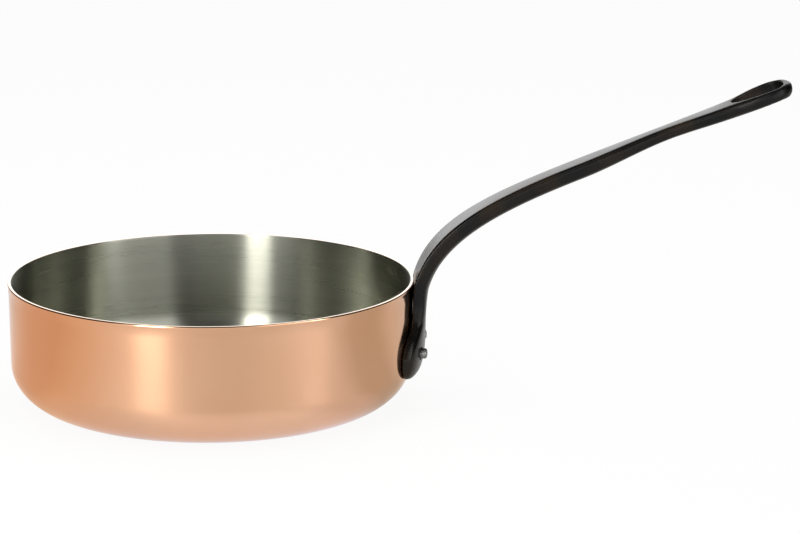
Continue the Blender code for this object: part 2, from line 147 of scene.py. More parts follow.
class Graph:
    def __init__(self, tree):
        self.tree = tree
        self.tree.nodes.clear()

    # One node of any type: settings first, then the values or links of its sockets.
    def node(self, kind, settings=None, sockets=None, output=0):
        made = self.tree.nodes.new(kind)
        for name, value in (settings or {}).items():
            if name == "stops":
                self.setStops(made.color_ramp, value)
            else:
                setattr(made, name, value)
        for key, value in (sockets or {}).items():
            socket = made.inputs[key]
            if isinstance(value, Sock):
                self.tree.links.new(value.socket, socket)
            else:
                socket.default_value = value
        return Sock(self, made.outputs[output]) if made.outputs else None

    def setStops(self, ramp, stops):
        while len(ramp.elements) > len(stops):
            ramp.elements.remove(ramp.elements[-1])
        while len(ramp.elements) < len(stops):
            ramp.elements.new(1.0)
        for element, (place, colour) in zip(ramp.elements, stops):
            element.position = place
            element.color = colour

    def objectPlace(self):
        return self.node("ShaderNodeTexCoord", output="Object")

    def parts(self, vector):
        split = self.node("ShaderNodeSeparateXYZ", None, {0: vector})
        outputs = split.socket.node.outputs
        return [Sock(self, outputs[i]) for i in range(3)]

    def joined(self, x, y, z):
        return self.node("ShaderNodeCombineXYZ", None, {0: x, 1: y, 2: z})

    def noise(self, place, scale, detail=2.0, roughness=0.5):
        sockets = {"Vector": place, "Scale": scale, "Detail": detail, "Roughness": roughness}
        return self.node("ShaderNodeTexNoise", None, sockets)

    def blend(self, share, first, second):
        settings = {"data_type": "RGBA"}
        return self.node("ShaderNodeMix", settings, {0: share, 6: first, 7: second}, output=2)

    def bump(self, height, distance, strength):
        sockets = {"Height": height, "Distance": distance, "Strength": strength}
        return self.node("ShaderNodeBump", None, sockets)


def newMaterial(name, colour):
    material = bpy.data.materials.new(name)
    material.use_nodes = True
    material.diffuse_color = colour
    return material, Graph(material.node_tree)


def surface(graph, sockets):
    shader = graph.node("ShaderNodeBsdfPrincipled", None, sockets)
    graph.node("ShaderNodeOutputMaterial", None, {"Surface": shader})


def rgb(red, green, blue):
    return (red, green, blue, 1.0)


def grey(level):
    return rgb(level, level, level)


# Turned coordinates of a place: angle round Z, and distance from Z.
def turnedPlace(graph):
    x, y, z = graph.parts(graph.objectPlace())
    radius = (x * x + y * y) ** 0.5
    angle = graph.node("ShaderNodeMath", {"operation": "ARCTAN2"}, {0: y, 1: x})
    return angle, radius, z


# Copper: lathe polished, so it shines clearly with a soft pull across its fine lines.
copperLook = {
    "bright": rgb(0.80, 0.465, 0.285),
    "deep": rgb(0.78, 0.44, 0.265),
    "cloudScale": 14.0,
    "cloudEdges": (0.35, 0.65),   # the noise levels between which the two colours mix
    "lip": rgb(0.92, 0.75, 0.60),  # painted highlight: a pale colour on the rim's top, in place of the bright line lights make there
    "rimHighlightDepth": 0.00025,
    "roughness": 0.12,
    "roughSpread": 0.05,
    "anisotropy": 0.5,
    "anisotropyTurn": 0.25,
    "lineScale": 900.0,
    "lineWaves": 0.35,            # how often a line changes on its way round
    "lineHeight": 0.000004,
    "lineStrength": 0.4,
}


def makeCopperLook(look):
    material, graph = newMaterial("polishedCopper", look["bright"])
    angle, radius, z = turnedPlace(graph)
    turned = graph.joined(angle * look["lineWaves"], (radius + z) * look["lineScale"], 0.0)
    lines = graph.noise(turned, 1.0, 3.0)
    cloud = graph.noise(graph.objectPlace(), look["cloudScale"], 3.0)
    plain = graph.blend(cloud.between(*look["cloudEdges"]), look["bright"], look["deep"])
    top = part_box("copper_body")[1].z
    # Painted highlight: the rim's top takes the pale colour, standing in for the light that catches
    # there.
    onRimHighlight = z.between(top - look["rimHighlightDepth"], top - 0.5 * look["rimHighlightDepth"])
    surface(graph, {
        "Base Color": graph.blend(onRimHighlight, plain, look["lip"]),
        "Metallic": 1.0,
        "Roughness": lines * look["roughSpread"] + (look["roughness"] - 0.5 * look["roughSpread"]),
        "Anisotropic": look["anisotropy"],
        "Anisotropic Rotation": look["anisotropyTurn"],
        "Normal": graph.bump(lines, look["lineHeight"], look["lineStrength"]),
    })
    return material


# Lining: stainless steel brushed round the pan's axis, in fine lines and wider streaks.
liningLook = {
    "light": rgb(0.50, 0.505, 0.437),
    "dark": rgb(0.41, 0.414, 0.36),
    "lineShare": 0.6,             # how much the fine lines count in the colour
    "mixEdges": (0.15, 0.85),
    "roughness": 0.28,
    "lineSpread": 0.05,
    "streakSpread": 0.03,
    "anisotropy": 1.0,
    "anisotropyTurn": 0.25,
    "lineScale": 1400.0,
    "lineWaves": 1.3,
    "streakScale": 0.12,          # as a share of lineScale
    "streakWaves": 0.8,
    "lineHeight": 0.00001,
    "lineStrength": 0.08,
}


def makeLiningLook(look):
    material, graph = newMaterial("brushedLining", look["light"])
    angle, radius, z = turnedPlace(graph)
    across = (radius + z) * look["lineScale"]
    lines = graph.noise(graph.joined(angle * look["lineWaves"], across, 0.0), 1.0, 4.0, 0.6)
    turned = graph.joined(angle * look["streakWaves"], across * look["streakScale"], 3.0)
    streaks = graph.noise(turned, 1.0, 3.0)
    brushing = lines * look["lineShare"] + streaks * (1.0 - look["lineShare"])
    spread = lines * look["lineSpread"] + streaks * look["streakSpread"]
    least = look["roughness"] - 0.5 * (look["lineSpread"] + look["streakSpread"])
    surface(graph, {
        "Base Color": graph.blend(brushing.between(*look["mixEdges"]), look["dark"], look["light"]),
        "Metallic": 1.0,
        "Roughness": spread + least,
        "Anisotropic": look["anisotropy"],
        "Anisotropic Rotation": look["anisotropyTurn"],
        "Normal": graph.bump(lines, look["lineHeight"], look["lineStrength"]),
    })
    return material


# Iron: black, satin, with the fine grain of the casting and brown clouds.
ironLook = {
    "black": rgb(0.003, 0.003, 0.003),
    "brown": rgb(0.015, 0.009, 0.004),
    "cloudScale": 35.0,
    "cloudEdges": (0.4, 0.7),
    "roughness": 0.27,
    "grainSpread": 0.14,
    "cloudSpread": 0.10,
    "ringRough": 0.10,            # added on the ring, which is left as it was cast
    "ringFade": (0.060, 0.030),   # how far from the end that starts, and is in full
    "ior": 1.31,
    "grainScale": 900.0,
    "grainShare": 0.7,            # how much the grain and the swell count in the bump
    "swellScale": 120.0,
    "swellShare": 1.4,
    "bumpHeight": 0.00003,
    "bumpStrength": 0.5,
}


def makeIronLook(look):
    material, graph = newMaterial("blackCastIron", look["black"])
    place = graph.objectPlace()
    grain = graph.noise(place, look["grainScale"], 4.0, 0.6)
    swell = graph.noise(place, look["swellScale"], 3.0)
    cloud = graph.noise(place, look["cloudScale"], 4.0)
    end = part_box("handle")[1].x
    start, full = look["ringFade"]
    onRing = graph.parts(place)[0].between(end - start, end - full)
    spread = grain * look["grainSpread"] + cloud * look["cloudSpread"] + onRing * look["ringRough"]
    least = look["roughness"] - 0.5 * (look["grainSpread"] + look["cloudSpread"])
    height = grain * look["grainShare"] + swell * look["swellShare"]
    surface(graph, {
        "Base Color": graph.blend(cloud.between(*look["cloudEdges"]), look["black"], look["brown"]),
        "Roughness": spread + least,
        "IOR": look["ior"],
        "Normal": graph.bump(height, look["bumpHeight"], look["bumpStrength"]),
    })
    return material


# Rivets: dull grey steel, hammered ends.
rivetLook = {
    "light": rgb(0.36, 0.36, 0.35),
    "dark": rgb(0.16, 0.16, 0.155),
    "cloudScale": 260.0,
    "cloudEdges": (0.35, 0.7),
    "roughness": 0.34,
    "roughSpread": 0.2,
    "markScale": 700.0,
    "markHeight": 0.00005,
    "markStrength": 0.5,
}


def makeRivetLook(look):
    material, graph = newMaterial("rivetSteel", look["light"])
    place = graph.objectPlace()
    marks = graph.noise(place, look["markScale"], 3.0)
    cloud = graph.noise(place, look["cloudScale"], 2.0)
    surface(graph, {
        "Base Color": graph.blend(cloud.between(*look["cloudEdges"]), look["light"], look["dark"]),
        "Metallic": 1.0,
        "Roughness": marks * look["roughSpread"] + (look["roughness"] - 0.5 * look["roughSpread"]),
        "Normal": graph.bump(marks, look["markHeight"], look["markStrength"]),
    })
    return material


copper = makeCopperLook(copperLook)
brushed = makeLiningLook(liningLook)
iron = makeIronLook(ironLook)
rivetSteel = makeRivetLook(rivetLook)
print("materials made")


# Geometry node trees: a small helper, then the tree that turns a profile round Z.
class Tree:
    def __init__(self, name, inputs):
        self.tree = bpy.data.node_groups.new(name, "GeometryNodeTree")
        face = self.tree.interface
        face.new_socket("Geometry", in_out="INPUT", socket_type="NodeSocketGeometry")
        self.ids = {}
        for label, kind in inputs:
            socket = face.new_socket(label, in_out="INPUT", socket_type=kind)
            self.ids[label] = socket.identifier
        face.new_socket("Geometry", in_out="OUTPUT", socket_type="NodeSocketGeometry")
        self.source = self.tree.nodes.new("NodeGroupInput")

    def given(self, label):
        return self.source.outputs[label]

    def node(self, kind, settings=None, sockets=None, output=0):
        made = self.tree.nodes.new(kind)
        for name, value in (settings or {}).items():
            setattr(made, name, value)
        for key, value in (sockets or {}).items():
            if isinstance(value, bpy.types.NodeSocket):
                self.tree.links.new(value, made.inputs[key])
            else:
                made.inputs[key].default_value = value
        return made.outputs[output]

    def finish(self, geometry):
        real = self.node("GeometryNodeRealizeInstances", None, {0: geometry})
        sockets = {"Geometry": real, "Material": self.given("Material")}
        dressed = self.node("GeometryNodeSetMaterial", None, sockets)
        end = self.tree.nodes.new("NodeGroupOutput")
        self.tree.links.new(dressed, end.inputs[0])
        return self


def turnNodes(tree):
    profile = tree.node("GeometryNodeMeshToCurve", None, {"Mesh": tree.given("Geometry")})
    sockets = {"Resolution": tree.given("Steps"), "Radius": tree.given("Ring Radius")}
    ring = tree.node("GeometryNodeCurvePrimitiveCircle", None, sockets)
    swept = tree.node("GeometryNodeCurveToMesh", None, {"Curve": ring, "Profile Curve": profile})
    sockets = {"Geometry": swept, "Distance": tree.given("Merge")}
    return tree.node("GeometryNodeMergeByDistance", None, sockets)


turnInputs = [
    ("Steps", "NodeSocketInt"),
    ("Ring Radius", "NodeSocketFloat"),
    ("Merge", "NodeSocketFloat"),
    ("Material", "NodeSocketMaterial"),
]


def makeTurnTree():
    tree = Tree("turnedShell", turnInputs)
    return tree.finish(turnNodes(tree))


def makeRivetTree():
    inputs = turnInputs + [
        ("Count", "NodeSocketInt"),
        ("Half Angle", "NodeSocketFloat"),
        ("Height", "NodeSocketFloat"),
    ]
    tree = Tree("rivetRow", inputs)
    rivet = turnNodes(tree)
    index = tree.node("GeometryNodeInputIndex")
    points = tree.node("GeometryNodePoints", None, {"Count": tree.given("Count")})
    height = tree.node("ShaderNodeCombineXYZ", None, {"Z": tree.given("Height")})
    placed = tree.node("GeometryNodeSetPosition", None, {"Geometry": points, "Position": height})
    # Rivets 0 and 1 stand at minus and plus the half angle.
    side = tree.node("ShaderNodeMath", {"operation": "MULTIPLY_ADD"}, {0: index, 1: 2.0, 2: -1.0})
    sockets = {0: side, 1: tree.given("Half Angle")}
    angle = tree.node("ShaderNodeMath", {"operation": "MULTIPLY"}, sockets)
    turn = tree.node("ShaderNodeCombineXYZ", None, {"Y": 0.5 * math.pi, "Z": angle})
    sockets = {"Points": placed, "Instance": rivet, "Rotation": turn}
    return tree.finish(tree.node("GeometryNodeInstanceOnPoints", None, sockets))


# A (radius, height) profile, run through a tree, as a plain smooth mesh object.
def treeObject(name, profile, tree, values, sharpAngle):
    ringRadius = values["Ring Radius"]
    points = [(radius - ringRadius, -height, 0.0) for radius, height in profile]
    outline = bpy.data.meshes.new(name + "Outline")
    outline.from_pydata(points, [(i, i + 1) for i in range(len(points) - 1)], [])
    source = bpy.data.objects.new(name + "Outline", outline)
    bpy.context.scene.collection.objects.link(source)
    modifier = source.modifiers.new("tree", "NODES")
    modifier.node_group = tree.tree
    for label, value in values.items():
        modifier[tree.ids[label]] = value
    made = plainCopy(source, name)
    smoothShade(made, sharpAngle)
    return made


# What an object's modifiers make of it, as a mesh object that takes its place.
def plainCopy(source, name):
    bpy.context.view_layer.update()
    evaluated = source.evaluated_get(bpy.context.evaluated_depsgraph_get())
    mesh = bpy.data.meshes.new_from_object(evaluated)
    mesh.name = name
    made = bpy.data.objects.new(name, mesh)
    bpy.context.scene.collection.objects.link(made)
    bpy.data.objects.remove(source, do_unlink=True)
    return made


def smoothShade(made, sharpAngle):
    made.data.shade_smooth()
    made.data.set_sharp_from_angle(angle=math.radians(sharpAngle))


# The pan's two shells follow one rule: a slightly tapered wall, an elliptical corner and a
# flat floor.
pan = {
    "height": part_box("copper_body")[1].z,
    "innerRadius": 0.1400,
    "layerRadius": 0.1405,        # where the lining ends and the copper starts, at the rim
    "layerGap": 0.00002,
    "floorGap": 0.0001,
    "outerRadius": 0.1420,
    "taper": 0.0013,              # how much the wall's radius shrinks from rim to base
    "cornerReach": 0.0385,
    "cornerRise": 0.0315,
    "cornerPoints": 28,
    "wallPoints": 10,
    "lipFlare": 0.0005,           # how far the rim turns out past the wall
    "lipHeight": 0.0030,
    "lipShape": [(0.45, 0.0), (0.8, 0.6)],  # share of the height down, share of the flare lost
    "rimEdge": 0.00060,           # rounding of the lining's edge at the rim
    "outerEdge": 0.00095,         # the same for the copper
    "edgeSteps": 8,
    "steps": 288,
    "ringRadius": 0.1,            # of the circle that the profile is swept along
    "merge": 0.00001,
    "sharpAngle": 40,
}


def wallRadius(topRadius, height):
    return topRadius - pan["taper"] * (pan["height"] - height) / pan["height"]


def outerFaceRadius(height):
    wall = wallRadius(pan["outerRadius"], max(height, pan["cornerRise"]))
    below = max(0.0, pan["cornerRise"] - height) / pan["cornerRise"]
    return wall - pan["cornerReach"] * (1.0 - math.sqrt(max(0.0, 1.0 - below * below)))


def shellLine(topRadius, floorHeight):
    reach = pan["cornerReach"] - (pan["outerRadius"] - topRadius)
    rise = pan["cornerRise"] - floorHeight
    cornerRadius = wallRadius(topRadius, pan["cornerRise"])
    line = [(0.0, floorHeight), (0.5 * (cornerRadius - reach), floorHeight)]
    for i in range(pan["cornerPoints"]):
        turn = 0.5 * math.pi * i / (pan["cornerPoints"] - 1)
        radius = cornerRadius - reach * (1.0 - math.sin(turn))
        line.append((radius, pan["cornerRise"] - rise * math.cos(turn)))
    top = pan["height"] - pan["lipHeight"]
    for i in range(1, pan["wallPoints"] + 1):
        height = pan["cornerRise"] + (top - pan["cornerRise"]) * i / pan["wallPoints"]
        line.append((wallRadius(topRadius, height), height))
    return line


# A quarter round at the rim: from the top face outward and down, or from inside up to it.
def roundedEdge(radius, height, size, outward):
    points = []
    for i in range(pan["edgeSteps"] + 1):
        turn = 0.5 * math.pi * i / pan["edgeSteps"]
        bySine = size * (1.0 - math.sin(turn))
        byCosine = size * (1.0 - math.cos(turn))
        if outward:
            points.append((radius - bySine, height - byCosine))
        else:
            points.append((radius + byCosine, height - bySine))
    return points


def copperProfile():
    low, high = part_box("steel_lining")
    inner = shellLine(pan["layerRadius"], pan["height"] - high.z + low.z - pan["floorGap"])
    lipRadius = pan["outerRadius"] + pan["lipFlare"]
    lip = [(pan["layerRadius"], pan["height"])]
    lip += roundedEdge(lipRadius, pan["height"], pan["outerEdge"], True)
    for drop, lost in pan["lipShape"]:
        lip.append((lipRadius - lost * pan["lipFlare"], pan["height"] - drop * pan["lipHeight"]))
    return inner + lip + shellLine(pan["outerRadius"], 0.0)[::-1]


def liningProfile():
    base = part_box("steel_lining")[0].z
    outerRadius = pan["layerRadius"] - pan["layerGap"]
    inner = shellLine(pan["innerRadius"], base + pan["layerRadius"] - pan["innerRadius"])
    lip = roundedEdge(pan["innerRadius"], pan["height"], pan["rimEdge"], False)
    lip.append((outerRadius, pan["height"]))
    return inner + lip + shellLine(outerRadius, base)[::-1]


def makeShell(name, profile, material):
    values = {"Steps": pan["steps"], "Ring Radius": pan["ringRadius"], "Merge": pan["merge"]}
    return treeObject(name, profile, turnTree, {**values, "Material": material}, pan["sharpAngle"])


turnTree = makeTurnTree()
copperShell = makeShell("copperShell", copperProfile(), copper)
steelLiner = makeShell("steelLiner", liningProfile(), brushed)
print("pan shells:", len(copperShell.data.polygons), len(steelLiner.data.polygons), "faces")


# Handle: a fine loft along the casting's line, then the eye and the rivet seats are cut and
# the whole is remeshed, so that its edges are softened as a casting's are.
handle = {
    "reach": 0.2600,              # wall to the end of the ring
    "rise": 0.1432,               # rim to the top of the ring's end
    "stemAngle": 22.1,            # slopes are in degrees
    "stemStraight": 0.158,
    "neckStandoff": 0.0005,       # neck to wall, level with the rim
    "neckAngle": 73.0,
    "neckLeave": 89.2,            # slope of the neck where it leaves the wall
    "neckWidth": 0.0450,
    "waistWidth": 0.0425,
    "bendWidth": 0.0375,
    "stemWidth": 0.0256,
    "gripWidth": 0.0174,
    "neckDepth": 0.0116,
    "bendDepth": 0.0122,
    "stemDepth": 0.0113,
    "gripDepth": 0.0080,
    "footWidth": 0.0890,
    "footTop": 0.0270,            # rim down to the line where the neck meets the wall
    "footBottom": 0.0656,         # rim down to the foot's lower edge
    "footDepth": 0.0092,
    "footEdge": 0.0026,           # thickness along the lower edge
    "footSwell": 0.60,            # share of the foot's height where it is fully thick
    "footOutline": [              # share of the foot's height, half width as a share of its width
        (0.0, 0.345), (0.05, 0.42), (0.13, 0.472), (0.27, 0.505), (0.42, 0.508), (0.58, 0.484),
        (0.73, 0.425), (0.87, 0.335), (1.0, 0.266), (1.2, 0.240),
    ],
    "footPower": 4.5,             # how square a section is: 2 is an ellipse
    "footSpacing": 1.5,           # above 1, sections stand closer near the lower edge
    "footFlare": 2.5,             # sets how steeply the neck narrows where it leaves the foot
    "ringWidth": 0.0405,
    "ringDepth": 0.0102,
    "ringZone": 2.15,             # length over which the stem swells, in ring lengths
    "ringBelly": 0.43,            # widest place of the ring, in eye lengths from the end
    "ringOutline": [              # eye lengths from the end, share of the swelling
        (0.43, 1.0), (0.68, 0.92), (0.91, 0.68), (1.10, 0.45), (1.55, 0.27), (2.10, 0.08),
        (2.45, 0.0),
    ],
    "eyeLength": 0.0380,
    "eyeWidth": 0.0320,
    "eyeEndWall": 0.0054,
    "eyeBelly": 0.46,
    "eyeTip": 0.38,
    "eyeEnd": 0.62,
    "eyePulls": (0.78, 0.34),     # how far the eye's outline runs straight by its widest place
    "eyePoints": 96,
    "endRound": 0.0065,
    "endFlat": 0.0024,
    "endDrop": 0.30,              # share of the end's rounding that comes off its upper face
    "neckPulls": (0.50, 0.17),    # how far the neck keeps the slopes of its ends, in its heights
    "bendPulls": (0.285, 0.500),  # the same for the bend, in its spans
    "wrapStart": 0.75,            # where the inner face starts to leave the wall's curve
    "wrapEnd": 0.40,              # where it is flat across
    "waist": 0.38,                # share of the neck where it is slimmest
    "bendMiddle": 0.35,           # share of the bend where its middle sizes are reached
    "power": 3.2,                 # as footPower, for the neck, the bend and the stem
    "neckEdge": 0.0010,           # rounding of the upper face's long edges
    "neckEdgeFull": 0.8,          # share of the neck from which they are rounded in full
    "bendEdge": 0.0026,
    "stemEdge": 0.0030,
    "ringEdge": 0.0036,
    "edgeLimits": (0.45, 0.6),    # most rounding, as shares of half the width and of the depth
    "crown": 0.00012,             # how much higher the upper face is in its middle
    "bendLift": 0.0004,           # how far the upper face is raised at the bend's end
    "stemLift": [(0.0, 0.0004), (0.35, 0.0009), (0.7, 0.0001), (0.88, 0.0006), (1.0, 0.0)],
    "seatGap": 0.0003,
    "steps": {"foot": 30, "neck": 16, "bend": 48, "stem": 20, "ring": 64},
    "topPoints": 20,
    "underPoints": 48,
    "edgePoints": 6,
    "weld": 0.000002,
    "cutMargin": 0.004,
    "voxel": 0.00066,             # small enough for the edges, and under 200,000 triangles
    "smoothFactor": 0.5,
    "smoothing": 9,
    "ringSmoothing": 15,
    "ringBlend": 0.020,           # length over which the ring's extra smoothing fades out
}
rivet = {
    "count": 2,
    "radius": 0.0037,
    "spacing": 0.0510,
    "drop": 0.0474,               # rim down to the rivets' axes
    "tail": 0.0039,               # how far the outer end stands proud of the foot
    "dome": 0.0017,
    "domeRound": 0.7,             # below 1, the dome's top is flatter
    "domeFall": 1.2,
    "domeFoot": 1.2,              # where the shank starts, in heights of the dome
    "headRadius": 0.0075,
    "headHeight": 0.0022,
    "headDome": 0.0009,
    "domeSteps": 8,
    "seat": 0.0004,               # round the shank
    "seatDepth": 0.006,           # how far inside the wall's face the seats are cut
    "steps": 64,
    "ringRadius": 0.01,
    "merge": 0.000005,
    "sharpAngle": 40,
}


# A smooth curve through knots of (place, value), which doesn't swing past them.
def smoothBetween(knots, x):
    if x <= knots[0][0]:
        return knots[0][1]
    if x >= knots[-1][0]:
        return knots[-1][1]
    count = len(knots)
    steps = [knots[i + 1][0] - knots[i][0] for i in range(count - 1)]
    slopes = [(knots[i + 1][1] - knots[i][1]) / steps[i] for i in range(count - 1)]
    tangents = [0.0] * count
    for i in range(1, count - 1):
        if slopes[i - 1] * slopes[i] > 0.0:
            left = 2.0 * steps[i] + steps[i - 1]
            right = steps[i] + 2.0 * steps[i - 1]
            tangents[i] = (left + right) / (left / slopes[i - 1] + right / slopes[i])
    place = max(i for i in range(count - 1) if knots[i][0] <= x)
    step = steps[place]
    t = (x - knots[place][0]) / step
    rest = 1.0 - t
    start = (1.0 + 2.0 * t) * rest ** 2 * knots[place][1] + t * rest ** 2 * step * tangents[place]
    end = t * t * (3.0 - 2.0 * t) * knots[place + 1][1]
    end += t * t * (t - 1.0) * step * tangents[place + 1]
    return start + end


# Height of a rounded section, as a share, at a share of its half width.
def sectionFill(share, power):
    return max(0.0, 1.0 - abs(share) ** power) ** (1.0 / power)


def bezierPoint(controls, t):
    a, b, c, d = controls
    s = 1.0 - t
    return a * s ** 3 + b * 3.0 * s * s * t + c * 3.0 * s * t * t + d * t ** 3


def footStation(height):
    low = pan["height"] - handle["footBottom"]
    high = pan["height"] - handle["footTop"]
    share = (height - low) / (high - low)
    swell = sectionFill(1.0 - min(1.0, share / handle["footSwell"]), 2.0)
    depth = handle["footEdge"] + (handle["footDepth"] - handle["footEdge"]) * swell
    half = handle["footWidth"] * smoothBetween(handle["footOutline"], share)
    return {"half": half, "depth": depth, "power": handle["footPower"], "wrap": wallWrap(height)}


# How far a section follows the wall's curve: 1 on the foot, 0 where the face is flat across.
def wallWrap(height):
    footTop = pan["height"] - handle["footTop"]
    start = footTop - (1.0 - handle["wrapStart"]) * (handle["footBottom"] - handle["footTop"])
    end = footTop + handle["wrapEnd"] * handle["footTop"]
    return smoothBetween([(start, 1.0), (end, 0.0)], height)


def stemDirection():
    slope = math.radians(handle["stemAngle"])
    return Vector((math.cos(slope), 0.0, math.sin(slope)))


def stemEnd():
    return Vector((pan["outerRadius"] + handle["reach"], 0.0, pan["height"] + handle["rise"]))


def ringZone():
    return handle["ringZone"] * (handle["eyeLength"] + handle["eyeEndWall"])


# The middle of the upper face, from the foot's lower edge to the end of the ring: points,
# each with its stretch and its share of that stretch.
def upperLine():
    steps = handle["steps"]
    low = pan["height"] - handle["footBottom"]
    high = pan["height"] - handle["footTop"]
    line = []
    for i in range(steps["foot"] + 1):
        share = (i / steps["foot"]) ** handle["footSpacing"]
        height = low + (high - low) * share
        point = Vector((outerFaceRadius(height) + handle["seatGap"], 0.0, height))
        line.append((point, "foot", share))
    neckSlope = math.radians(handle["neckAngle"])
    neckWay = Vector((math.cos(neckSlope), 0.0, math.sin(neckSlope)))
    neck = Vector((pan["outerRadius"] + handle["neckStandoff"], 0.0, pan["height"]))
    seat = line[-1][0]
    tall = neck.z - seat.z
    first, second = handle["neckPulls"]
    leave = math.radians(handle["neckLeave"])
    leaveWay = Vector((math.cos(leave), 0.0, math.sin(leave)))
    rise = (seat, seat + leaveWay * first * tall, neck - neckWay * second * tall, neck)
    for i in range(1, steps["neck"] + 1):
        line.append((bezierPoint(rise, i / steps["neck"]), "neck", i / steps["neck"]))
    bendEnd = stemEnd() - stemDirection() * handle["stemStraight"]
    span = (bendEnd - neck).length
    first, second = handle["bendPulls"]
    bend = (neck, neck + neckWay * first * span, bendEnd - stemDirection() * second * span, bendEnd)
    for i in range(1, steps["bend"] + 1):
        line.append((bezierPoint(bend, i / steps["bend"]), "bend", i / steps["bend"]))
    ring = ringZone() / handle["stemStraight"]
    shares = [(1.0 - ring) * i / steps["stem"] for i in range(1, steps["stem"] + 1)]
    for i in range(1, steps["ring"] + 1):
        shares.append(1.0 - ring * (1.0 - math.sin(0.5 * math.pi * i / steps["ring"])))
    for share in shares:
        line.append((bendEnd + stemDirection() * handle["stemStraight"] * share, "stem", share))
    return line


def ringHalfWidth(fromEnd):
    half = 0.5 * handle["ringWidth"]
    grip = 0.5 * handle["gripWidth"]
    belly = handle["ringBelly"] * handle["eyeLength"]
    if fromEnd <= belly:
        return half * math.sqrt(max(0.0, 1.0 - (1.0 - fromEnd / belly) ** 2))
    swell = smoothBetween(handle["ringOutline"], fromEnd / handle["eyeLength"])
    return grip + (half - grip) * swell


def shapeNeck(station, share):
    footHalf = footStation(pan["height"] - handle["footTop"])["half"]
    widths = [(-handle["waist"], handle["footFlare"] * footHalf), (0.0, 2.0 * footHalf)]
    widths += [(handle["waist"], handle["waistWidth"]), (1.0, handle["neckWidth"])]
    powers = [(0.0, handle["footPower"]), (1.0, handle["power"])]
    edges = [(0.0, 0.0), (handle["neckEdgeFull"], 1.0)]
    depths = [(0.0, handle["footDepth"]), (1.0, handle["neckDepth"])]
    station["half"] = 0.5 * smoothBetween(widths, share)
    station["depth"] = smoothBetween(depths, share)
    station["wrap"] = wallWrap(station["point"].z)
    station["power"] = smoothBetween(powers, share)
    station["edge"] = handle["neckEdge"] * smoothBetween(edges, share)


def shapeBend(station, share):
    middle = handle["bendMiddle"]
    widths = [(0.0, handle["neckWidth"]), (middle, handle["bendWidth"]), (1.0, handle["stemWidth"])]
    depths = [(0.0, handle["neckDepth"]), (middle, handle["bendDepth"]), (1.0, handle["stemDepth"])]
    edges = [(0.0, handle["neckEdge"]), (middle, handle["bendEdge"]), (1.0, handle["stemEdge"])]
    station["half"] = 0.5 * smoothBetween(widths, share)
    station["depth"] = smoothBetween(depths, share)
    station["edge"] = smoothBetween(edges, share)
    station["crown"] = smoothBetween([(0.0, 0.0), (middle, handle["crown"])], share)
    station["lift"] = smoothBetween([(middle, 0.0), (1.0, handle["bendLift"])], share)


def shapeStem(station, share):
    straight = handle["stemStraight"]
    fromEnd = straight * (1.0 - share)
    grip = 1.0 - ringZone() / straight
    fullRing = 1.0 - handle["eyeLength"] / straight
    widths = [(0.0, handle["stemWidth"]), (grip, handle["gripWidth"])]
    depths = [(0.0, handle["stemDepth"]), (grip, handle["gripDepth"])]
    depths.append((fullRing, handle["ringDepth"]))
    edges = [(grip, handle["stemEdge"]), (fullRing, handle["ringEdge"])]
    station["half"] = 0.5 * smoothBetween(widths, share)
    station["depth"] = smoothBetween(depths, share)
    station["edge"] = smoothBetween(edges, share)
    station["crown"] = handle["crown"]
    station["lift"] = smoothBetween(handle["stemLift"], share)
    if fromEnd < ringZone():
        station["half"] = max(0.5 * handle["endFlat"], ringHalfWidth(fromEnd))
    if fromEnd < handle["endRound"]:
        left = math.sqrt(1.0 - (1.0 - fromEnd / handle["endRound"]) ** 2)
        left = max(handle["endFlat"] / handle["ringDepth"], left)
        lost = station["depth"] * (1.0 - left)
        station["point"] = station["point"] + station["under"] * (handle["endDrop"] * lost)
        station["depth"] -= lost


def handleStations():
    line = upperLine()
    shapes = {"neck": shapeNeck, "bend": shapeBend, "stem": shapeStem}
    stations = []
    for i, (point, kind, share) in enumerate(line):
        before = line[max(0, i - 1)][0]
        after = line[min(len(line) - 1, i + 1)][0]
        along = Vector((0.0, 0.0, 1.0)) if kind == "foot" else (after - before).normalized()
        under = Vector((along.z, 0.0, -along.x))
        station = {"point": point, "under": under, "power": handle["power"]}
        station.update(wrap=0.0, edge=0.0, crown=0.0, lift=0.0)
        if kind == "foot":
            station.update(footStation(point.z))
        else:
            shapes[kind](station, share)
        stations.append(station)
    return stations


# One closed section: across the upper face, round its edge, and back along the underside.
def sectionPoints(station):
    half = station["half"]
    byWidth, byDepth = handle["edgeLimits"]
    edge = min(station["edge"], byWidth * half, byDepth * station["depth"])
    deep = station["depth"] - edge
    inner = half - edge
    lift = station["lift"]
    across = []
    for i in range(handle["topPoints"]):
        y = 1.0 - 2.0 * i / handle["topPoints"]
        across.append((inner * y, -station["crown"] * (1.0 - y * y) - lift))
    for i in range(handle["edgePoints"]):
        turn = 0.5 * math.pi * i / handle["edgePoints"]
        across.append((-inner - edge * math.sin(turn), edge * (1.0 - math.cos(turn)) - lift))
    bulge = 2.0 / station["power"]
    for i in range(handle["underPoints"] + 1):
        turn = math.pi * (1.0 - i / handle["underPoints"])
        y = half * math.copysign(abs(math.cos(turn)) ** bulge, math.cos(turn))
        across.append((y, edge + deep * abs(math.sin(turn)) ** bulge))
    for i in range(1, handle["edgePoints"]):
        turn = 0.5 * math.pi * (1.0 - i / handle["edgePoints"])
        across.append((inner + edge * math.sin(turn), edge * (1.0 - math.cos(turn)) - lift))
    radius = station["point"].x
    points = []
    for y, depth in across:
        sag = station["wrap"] * (radius - math.sqrt(radius * radius - y * y))
        place = station["point"] + station["under"] * depth
        points.append(Vector((place.x - sag, y, place.z)))
    return points


